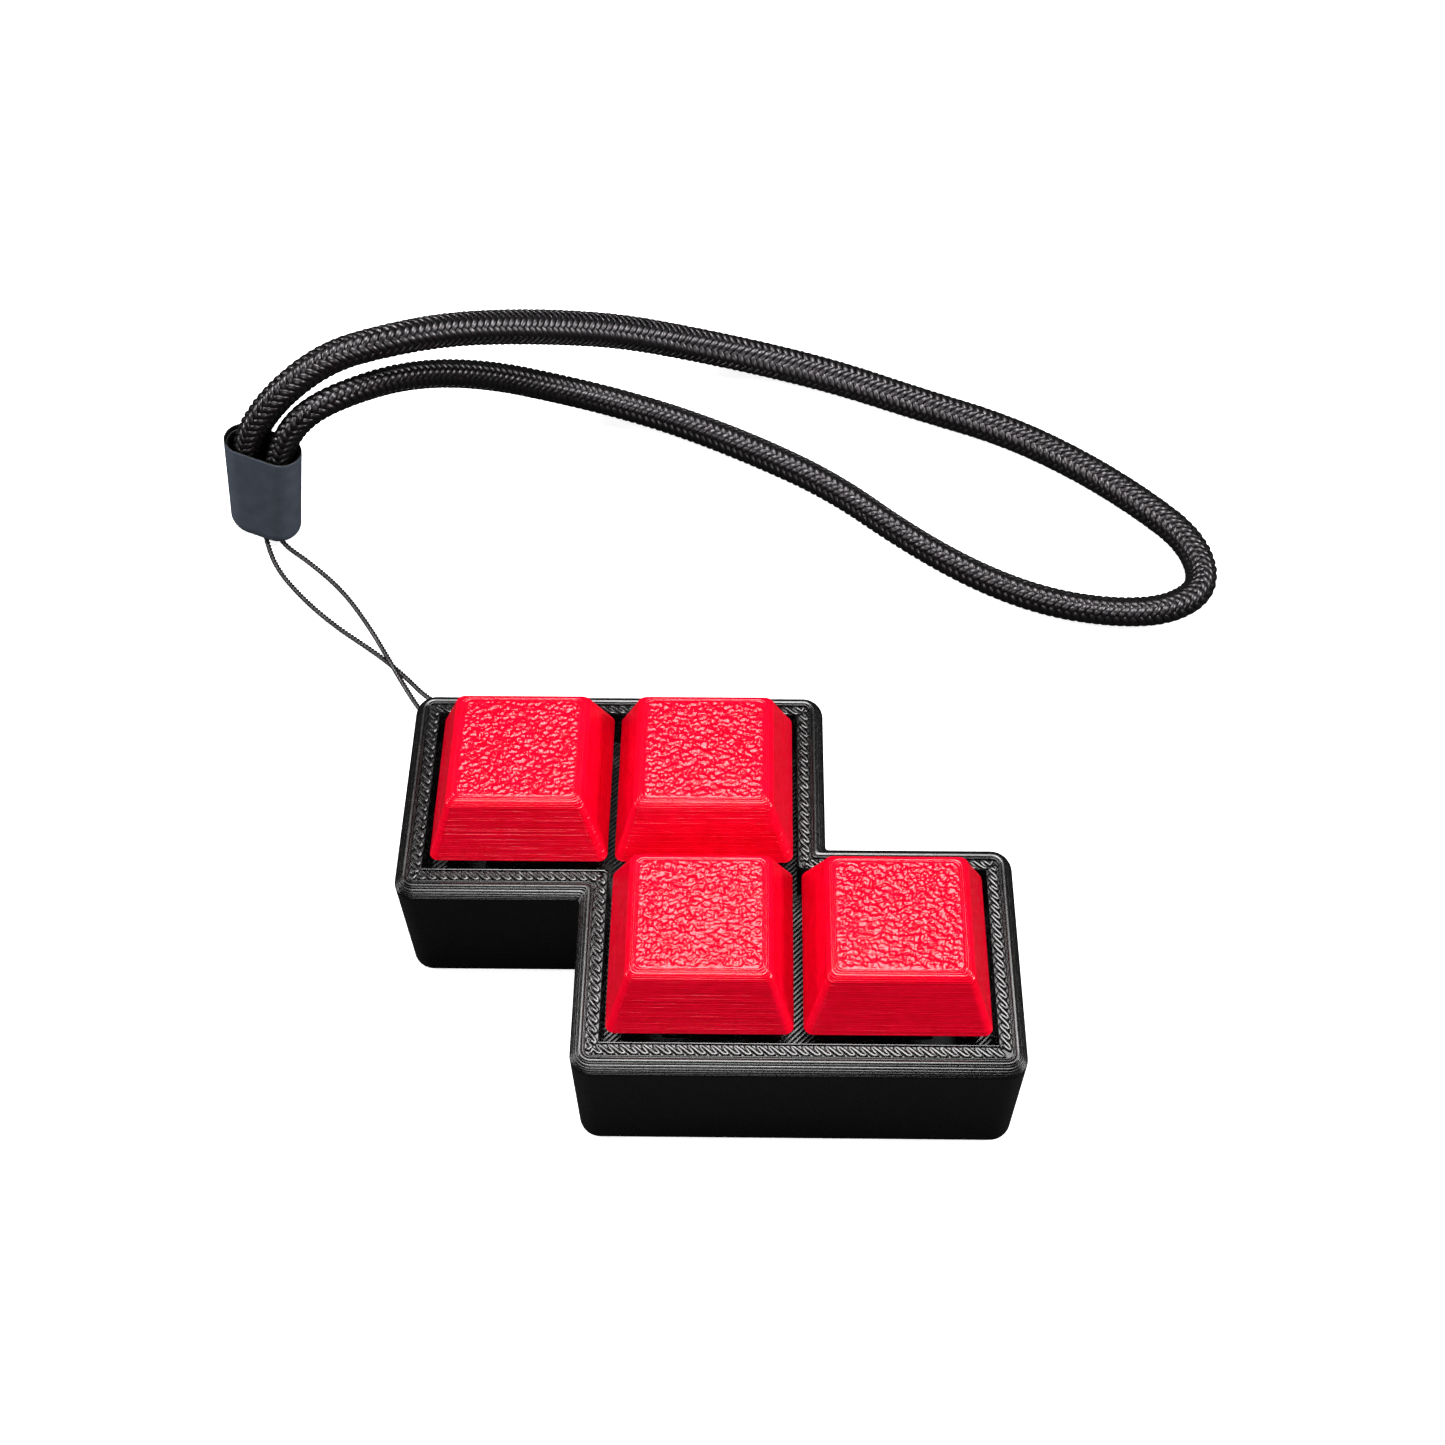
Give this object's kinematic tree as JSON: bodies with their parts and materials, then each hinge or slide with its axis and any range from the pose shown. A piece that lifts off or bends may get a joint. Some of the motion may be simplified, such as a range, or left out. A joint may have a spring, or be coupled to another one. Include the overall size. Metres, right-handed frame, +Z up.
{
  "type": "clicker trainer",
  "caption": "Keyboard-style click keys with textured caps in a Z-shaped case, on a braided wrist lanyard; each press makes a sharp click for marker training.",
  "frame": {"origin": "centre of the case's footprint, on its underside", "axes": "+Z up out of the key tops, +X along the case's long side, -Y towards the user"},
  "size_m": [0.124, 0.1129, 0.0274],
  "materials": {
    "case_plastic": "matte 3-D printed, fine layer lines",
    "keycap_plastic": "satin 3-D printed, leather-like crown",
    "stem_plastic": "smooth moulded",
    "jacket_plastic": "smooth moulded",
    "spring_steel": "bright spring wire",
    "housing_black": "smooth moulded nylon",
    "housing_clear": "clear polycarbonate",
    "contact_brass": "bright rolled strip",
    "sleeve_rubber": "soft matte",
    "cord_nylon": "tight glossy braid"
  },
  "bodies": {
    "root": {"case_body": "case_plastic", "base_cover": "case_plastic", "return_spring_1": "spring_steel", "switch_base_1": "housing_black", "switch_top_1": "housing_clear", "contact_leaf_1": "contact_brass", "fixed_contact_1": "contact_brass", "return_spring_2": "spring_steel", "switch_base_2": "housing_black", "switch_top_2": "housing_clear", "contact_leaf_2": "contact_brass", "fixed_contact_2": "contact_brass", "return_spring_3": "spring_steel", "switch_base_3": "housing_black", "switch_top_3": "housing_clear", "contact_leaf_3": "contact_brass", "fixed_contact_3": "contact_brass", "return_spring_4": "spring_steel", "switch_base_4": "housing_black", "switch_top_4": "housing_clear", "contact_leaf_4": "contact_brass", "fixed_contact_4": "contact_brass", "lanyard_sleeve": "sleeve_rubber", "cord_binding": "cord_nylon", "wrist_cord": "cord_nylon", "loop_cord": "cord_nylon"},
    "key_1": {"keycap_1": "keycap_plastic", "switch_stem_1": "stem_plastic"},
    "jacket_1": {"click_jacket_1": "jacket_plastic"},
    "key_2": {"keycap_2": "keycap_plastic", "switch_stem_2": "stem_plastic"},
    "jacket_2": {"click_jacket_2": "jacket_plastic"},
    "key_3": {"keycap_3": "keycap_plastic", "switch_stem_3": "stem_plastic"},
    "jacket_3": {"click_jacket_3": "jacket_plastic"},
    "key_4": {"keycap_4": "keycap_plastic", "switch_stem_4": "stem_plastic"},
    "jacket_4": {"click_jacket_4": "jacket_plastic"}
  },
  "joints": [
    {"name": "key_press_1", "type": "slide", "parent": "root", "child": "key_1", "axis": [0, 0, -1], "range_m": [0, 0.004], "stiffness_N_per_m": 110, "springref_m": -0.003, "deforming": ["return_spring_1"]},
    {"name": "jacket_drop_1", "type": "slide", "parent": "root", "child": "jacket_1", "axis": [0, 0, -1], "range_m": [0, 0.00281]},
    {"name": "key_press_2", "type": "slide", "parent": "root", "child": "key_2", "axis": [0, 0, -1], "range_m": [0, 0.004], "stiffness_N_per_m": 110, "springref_m": -0.003, "deforming": ["return_spring_2"]},
    {"name": "jacket_drop_2", "type": "slide", "parent": "root", "child": "jacket_2", "axis": [0, 0, -1], "range_m": [0, 0.00281]},
    {"name": "key_press_3", "type": "slide", "parent": "root", "child": "key_3", "axis": [0, 0, -1], "range_m": [0, 0.004], "stiffness_N_per_m": 110, "springref_m": -0.003, "deforming": ["return_spring_3"]},
    {"name": "jacket_drop_3", "type": "slide", "parent": "root", "child": "jacket_3", "axis": [0, 0, -1], "range_m": [0, 0.00281]},
    {"name": "key_press_4", "type": "slide", "parent": "root", "child": "key_4", "axis": [0, 0, -1], "range_m": [0, 0.004], "stiffness_N_per_m": 110, "springref_m": -0.003, "deforming": ["return_spring_4"]},
    {"name": "jacket_drop_4", "type": "slide", "parent": "root", "child": "jacket_4", "axis": [0, 0, -1], "range_m": [0, 0.00281]}
  ],
  "couplings": [
    {"joint": "jacket_drop_1", "follows": "key_press_1", "ratio": 0.7},
    {"joint": "jacket_drop_2", "follows": "key_press_2", "ratio": 0.7},
    {"joint": "jacket_drop_3", "follows": "key_press_3", "ratio": 0.7},
    {"joint": "jacket_drop_4", "follows": "key_press_4", "ratio": 0.7}
  ]
}
